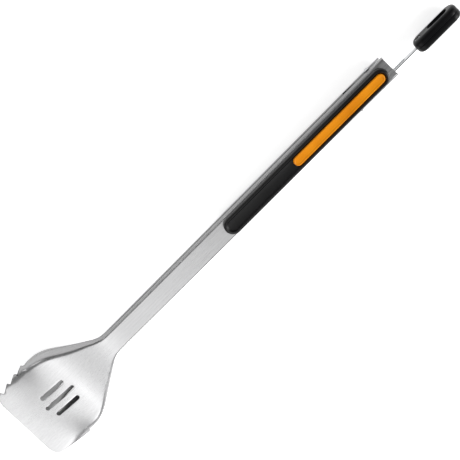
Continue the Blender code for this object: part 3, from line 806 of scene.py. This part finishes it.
def barbed_peg(x, side):
    """A peg through the arm's face, with a round-shouldered barb inside the channel."""
    inner = face_height(x) - SHEET - GAP
    tip = PEG_RADIUS - 0.5 * MM
    profile = [
        (side * (GRIP_TOP - 3 * MM), PEG_RADIUS),
        (side * inner, PEG_RADIUS),
        (side * inner, BARB_RADIUS - 0.15 * MM),
        (side * (inner - 0.15 * MM), BARB_RADIUS),
        (side * (inner - 1.6 * MM), tip + 0.2 * MM),
        (side * (inner - 1.8 * MM), tip),
    ]
    return rod(profile, x, 0, "Z", 32)


def insert(name, side, plastic):
    """The coloured strip in the grip's trough, with a raised rounded rim round a slightly sunk face."""

    def level(inset, drop):
        outline = stadium(INSERT_START, INSERT_END, 0, INSERT_HALF_WIDTH, inset)
        return outline, side * (HALF_HEIGHT - drop)

    foot_drop = HALF_HEIGHT - (GRIP_TOP - TROUGH_DEPTH + 0.05 * MM)
    levels = [level(0, foot_drop), level(0, INSERT_ROUNDING + 0.01 * MM)]
    levels += [level(inset, drop) for inset, drop in quarter_round(INSERT_ROUNDING, 6)]
    sunk_face = ((1.1, 0), (1.25, 0.05), (1.4, 0.2), (1.6, 0.25))
    levels += [level(inset * MM, drop * MM) for inset, drop in sunk_face]
    return smoothed(mesh_piece(name, *stacked(levels, "Z"), plastic), 50)


# Pull tab


def tab_half(name, side, plastic):
    """Half of the pull tab: a round-edged ring with a softened finger hole and sunk rivet seats."""

    def level(inset, depth):
        outline = rounded_box(TAB_START, TAB_END, TAB_CENTRE_Z, TAB_HALF_HEIGHT, TAB_CORNER, inset)
        return outline, PLATE_Y + side * depth

    groove = 0.25 * MM
    levels = [level(groove, 0.05 * MM), level(0.05 * MM, 0.3 * MM), level(0, 0.7 * MM)]
    levels += [level(inset, TAB_HALF_THICKNESS - drop) for inset, drop in quarter_round(TAB_ROUNDING, 8, 0)]
    half = mesh_piece(name, *stacked(levels, "Y"))
    hole = stadium(TAB_HOLE_START, TAB_HOLE_END, TAB_CENTRE_Z, TAB_HOLE_HALF_HEIGHT, steps=20)
    boolean(half, merged("tab_hole", [prism(hole, "Y", PLATE_Y - BEYOND_TAB, PLATE_Y + BEYOND_TAB)]))
    bevelled(half, TAB_HOLE_ROUNDING, 4, 50)
    boolean(half, tongue_pocket())
    sink, beyond = PLATE_Y + side * (TAB_HALF_THICKNESS - SEAT_DEPTH), PLATE_Y + side * BEYOND_TAB
    hole_radius = TAB_RIVET_RADIUS + GAP
    seat = [(PLATE_Y, hole_radius), (sink, hole_radius), (sink, SEAT_RADIUS), (beyond, SEAT_RADIUS)]
    boolean(half, merged("rivet_seats", [rod(seat, x, TAB_RIVET_Z, "Y", 32) for x in TAB_RIVET_XS]))
    half.data.set_sharp_from_angle(angle=radians(50))
    assign(half, plastic)
    return half


def tongue_pocket():
    """The hollow in the pull tab that the plate's tongue fills."""
    outline = rectangle(TAB_START - 2 * MM, PLATE_END_X + GAP, TONGUE_LOW - GAP, TONGUE_HIGH + 2 * GAP)
    half = PLATE_THICKNESS / 2 + GAP
    return merged("tongue_pocket", [prism(outline, "Y", PLATE_Y - half, PLATE_Y + half)])


# Hinge and lock metal


def turned_piece(name, profile, x, z, steel, steps=48):
    """A pin or a rivet turned about a line along Y, from (distance, radius) steps."""
    return smoothed(mesh_piece(name, *rod(profile, x, z, "Y", steps), steel), 40)


def domed_head(seat, height, radius, steps=6):
    """Profile steps of a low domed head that rises from seat, towards +Y or, with a negative height, -Y."""
    start = 0.25 * pi
    rise = 1 - sin(start)
    lip = 0.3
    points = [(seat, radius), (seat + lip * height, radius)]
    for i in range(1, steps + 1):
        a = start + (pi / 2 - start) * i / steps
        up = lip + (1 - lip) * (sin(a) - sin(start)) / rise
        points.append((seat + up * height, max(radius * cos(a) / cos(start), 0.02 * MM)))
    return points


def hinge_pin(steel):
    """The rivet through both arms, with its head on +Y and its closed end beyond the washer on -Y."""
    wall = half_width(PIN_X) + GAP
    low = domed_head(-wall - WASHER_ROOM, -CLOSED_END_HEIGHT, CLOSED_END_RADIUS)[::-1]
    high = domed_head(wall, PIN_HEAD_HEIGHT, PIN_HEAD_RADIUS)
    shaft = [(-wall - WASHER_ROOM, PIN_RADIUS), (wall, PIN_RADIUS)]
    return turned_piece("hinge_rivet", low + shaft + high, PIN_X, PIN_Z, steel)


def guide_pin(steel):
    """The pin in the lower arm's wall that the plate's slot slides on."""
    inner_face = PLATE_Y + PLATE_THICKNESS / 2 + GAP
    shaft = [(-half_width(GUIDE_X), STUD_RADIUS), (inner_face, STUD_RADIUS)]
    head = domed_head(inner_face, SMALL_HEAD_HEIGHT, GUIDE_HEAD_RADIUS)
    return turned_piece("guide_rivet", shaft + head, GUIDE_X, PIN_Z, steel)


def lock_stud(steel):
    """The stud in the upper arm's wall that the plate's hook passes over."""
    wall = -(half_width(STUD_X) + GAP)
    inner_end = PLATE_Y - PLATE_THICKNESS / 2 - GAP
    head = domed_head(wall, -SMALL_HEAD_HEIGHT, STUD_HEAD_RADIUS)[::-1]
    shaft = [(wall, STUD_RADIUS), (inner_end, STUD_RADIUS)]
    return turned_piece("stud_rivet", head + shaft, STUD_X, STUD_Z, steel)


def tab_rivet(name, x, steel):
    """A rivet through both halves of the pull tab and the plate's tongue."""
    seat = TAB_HALF_THICKNESS - SEAT_DEPTH + GAP
    height = SEAT_DEPTH - 2 * GAP
    low = domed_head(PLATE_Y - seat, -height, TAB_RIVET_HEAD_RADIUS)[::-1]
    high = domed_head(PLATE_Y + seat, height, TAB_RIVET_HEAD_RADIUS)
    shaft = [(PLATE_Y - seat, TAB_RIVET_RADIUS), (PLATE_Y + seat, TAB_RIVET_RADIUS)]
    return turned_piece(name, low + shaft + high, x, TAB_RIVET_Z, steel)


def lock_plate(steel):
    """A stamped plate with a slot for the pins, a hook towards the scoops and a tongue in the pull tab."""
    outline = [
        (PLATE_END_X, TONGUE_LOW),
        (PLATE_END_X, TONGUE_HIGH),
        (400 * MM, 1.7 * MM),
        (396 * MM, 2.3 * MM),
        (383 * MM, 2.3 * MM),
        (375 * MM, 0.5 * MM),
        (363.2 * MM, 0.5 * MM),
        (363.2 * MM, 4.4 * MM),
        (369 * MM, 4.4 * MM),
        (369 * MM, 5.7 * MM),
        (361.5 * MM, 5.7 * MM),
        (361.5 * MM, -4.8 * MM),
        (364 * MM, -5.8 * MM),
        (422 * MM, -5.8 * MM),
        (428 * MM, TONGUE_LOW),
    ]
    plate = mesh_piece("lock_strip", *prism(outline, "Y", PLATE_LOW_Y, PLATE_HIGH_Y))
    start, end = PIN_X - SLOT_HALF_HEIGHT, GUIDE_X + LOCK_TRAVEL + SLOT_HALF_HEIGHT
    tools = [prism(stadium(start, end, PIN_Z, SLOT_HALF_HEIGHT), "Y", PLATE_LOW_Y - MM, PLATE_HIGH_Y + MM)]
    ends = [(PLATE_LOW_Y - MM, TAB_RIVET_RADIUS + GAP), (PLATE_HIGH_Y + MM, TAB_RIVET_RADIUS + GAP)]
    tools += [rod(ends, x, TAB_RIVET_Z, "Y", 24) for x in TAB_RIVET_XS]
    boolean(plate, merged("plate_holes", tools))
    bevelled(plate, SHEET_EDGE)
    assign(plate, steel)
    return plate


def torsion_spring(steel):
    """A coil round the bush, with a leg under each arm's face, as a round wire swept along its path."""
    steps = round(32 * COIL_TURNS)
    path = [(LEG_END_X, COIL_START_Y, -LEG_END_Z)]
    for i in range(steps + 1):
        a = -pi / 2 + 2 * pi * COIL_TURNS * i / steps
        y = COIL_START_Y + (COIL_END_Y - COIL_START_Y) * i / steps
        path.append((PIN_X + COIL_RADIUS * cos(a), y, PIN_Z + COIL_RADIUS * sin(a)))
    path.append((LEG_END_X, COIL_END_Y, LEG_END_Z))
    curve = bpy.data.curves.new("spring_path", "CURVE")
    curve.dimensions = "3D"
    curve.bevel_depth = WIRE_RADIUS
    curve.bevel_resolution = 4
    curve.use_fill_caps = True
    spline = curve.splines.new("POLY")
    spline.points.add(len(path) - 1)
    for point, at in zip(spline.points, path):
        point.co = (*place(*at), 1)
    swept = added("spring_path", curve)
    mesh = bpy.data.meshes.new_from_object(swept.evaluated_get(bpy.context.evaluated_depsgraph_get()))
    bpy.data.objects.remove(swept, do_unlink=True)
    spring = smoothed(added("spring_wire", mesh), 50)
    assign(spring, steel)
    return spring


# Room, light and camera


def floor():
    """A plain pale floor that glows a little, so that it stays white under the dim end of the light."""
    made, _, shader, _ = node_material("floor", FLOOR_COLOUR, 0.7, 0)
    shader.inputs["Emission Color"].default_value = (1, 1, 1, 1)
    shader.inputs["Emission Strength"].default_value = FLOOR_GLOW
    mesh = bpy.data.meshes.new("floor")
    corners = rectangle(-FLOOR_REACH, FLOOR_REACH, -FLOOR_REACH, FLOOR_REACH)
    mesh.from_pydata([(x, y, 0) for x, y in corners], [], [(0, 1, 2, 3)])
    mesh.materials.append(made)
    obj = added("floor", mesh)
    obj.location.z = -FLOOR_DROP


def area_light(name, place_at, aim, size, radiance):
    """A soft box that faces a point."""
    light = bpy.data.lights.new(name, "AREA")
    light.shape = "RECTANGLE"
    light.size, light.size_y = size
    light.energy = radiance * pi * size[0] * size[1]
    obj = added(name, light)
    obj.location = place_at
    obj.rotation_euler = (Vector(place_at) - Vector(aim)).to_track_quat("Z", "Y").to_euler()


def lighting():
    """A row of soft boxes over the arms, brightest over the scoops and dim at the hinge, and those around."""
    world = bpy.data.worlds.new("studio")
    bpy.context.scene.world = world
    world.use_nodes = True
    world.node_tree.nodes["Background"].inputs["Color"].default_value = (1, 1, 1, 1)
    world.node_tree.nodes["Background"].inputs["Strength"].default_value = ROOM_STRENGTH
    for start, end, far_y, radiance in PANELS:
        x, y = (start + end) / 2, (PANEL_NEAR_Y + far_y) / 2
        size = (end - start, PANEL_NEAR_Y - far_y)
        area_light("over_arms", (x, y, PANEL_HEIGHT), (x, y, 0), size, radiance)
    for light in SIDE_LIGHTS:
        area_light(*light)
    bpy.context.scene.view_settings.view_transform = "Standard"


def camera():
    """The photograph's view: from above, turned so that the arms run from lower left to upper right."""
    along = (Vector((1, 0, 0)) - VIEW_BACK * VIEW_BACK.x).normalized()
    across = VIEW_BACK.cross(along)
    right = along * cos(ARM_ANGLE) - across * sin(ARM_ANGLE)
    up = along * sin(ARM_ANGLE) + across * cos(ARM_ANGLE)
    data = bpy.data.cameras.new("camera")
    data.sensor_width = SENSOR_WIDTH_MM
    data.lens = data.sensor_width * VIEW_DISTANCE / VIEW_WIDTH
    data.clip_end = 50
    obj = added("camera", data)
    turn = Matrix((right, up, VIEW_BACK)).transposed().to_4x4()
    obj.matrix_world = Matrix.Translation(place(*VIEW_CENTRE) + VIEW_BACK * VIEW_DISTANCE) @ turn
    bpy.context.scene.camera = obj


# Assembly


def dress(piece, body, nodes):
    """Puts a piece on its body in place of CAD nodes."""
    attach(piece, body)
    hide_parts(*nodes)


def build():
    """Makes every material and every piece, and puts the pieces on their bodies."""
    # wall and shaft set the painted shade on the arms' walls and shafts; the lower arm's walls get a little
    # more.
    upper_steel = brushed_steel("brushed_upper_steel", SHEET_STEEL, wall=0.5, shaft=0.8)
    lower_steel = brushed_steel("brushed_lower_steel", SHEET_STEEL, wall=0.4, shaft=0.8)
    plate_steel = brushed_steel("satin_plate_steel", PLATE_STEEL, (0.24, 0.36), 0.6)
    pin_steel = turned_steel("turned_steel", PIN_STEEL, 0.28)
    wire_steel = turned_steel("drawn_wire", WIRE_STEEL, 0.34)
    rubber = moulded("grip_rubber", GRIP_BLACK, 0.38, speckle=2600, depth=0.04 * MM, shine=0.4)
    tab_plastic = moulded("tab_plastic", TAB_BLACK, 0.36, speckle=2200, depth=0.03 * MM, shine=0.2)
    orange = moulded("orange_plastic", ORANGE, 0.35, speckle=2400, depth=0.03 * MM, shine=0.3)

    dress(upper_arm(upper_steel), "upper_body", ["upper_arm"])
    dress(lower_arm(lower_steel), "lower_body", ["lower_arm"])
    dress(grip("upper_grip_pad", 1, rubber), "upper_body", ["upper_grip"])
    dress(grip("lower_grip_pad", -1, rubber), "lower_body", ["lower_grip"])
    dress(insert("upper_insert_strip", 1, orange), "upper_body", ["upper_insert"])
    dress(insert("lower_insert_strip", -1, orange), "lower_body", ["lower_insert"])
    dress(tab_half("tab_shell_left", -1, tab_plastic), "lock", ["pull_tab_left"])
    dress(tab_half("tab_shell_right", 1, tab_plastic), "lock", ["pull_tab_right"])

    dress(lock_plate(plate_steel), "lock", ["lock_plate"])
    dress(hinge_pin(pin_steel), "lower_body", ["hinge_pin"])
    dress(guide_pin(pin_steel), "lower_body", ["lock_guide_pin"])
    dress(lock_stud(pin_steel), "upper_body", ["lock_stud"])
    for name, x in zip(("tab_rivet_front", "tab_rivet_rear"), TAB_RIVET_XS):
        dress(tab_rivet(name + "_turned", x, pin_steel), "lock", [name])

    spring = torsion_spring(wire_steel)
    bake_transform(spring)
    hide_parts("torsion_spring")
    for name in ("hinge_washer", "spacer_washer_left", "spacer_washer_right", "spring_bush"):
        assign(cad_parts[name], pin_steel)


build()
floor()
lighting()
camera()
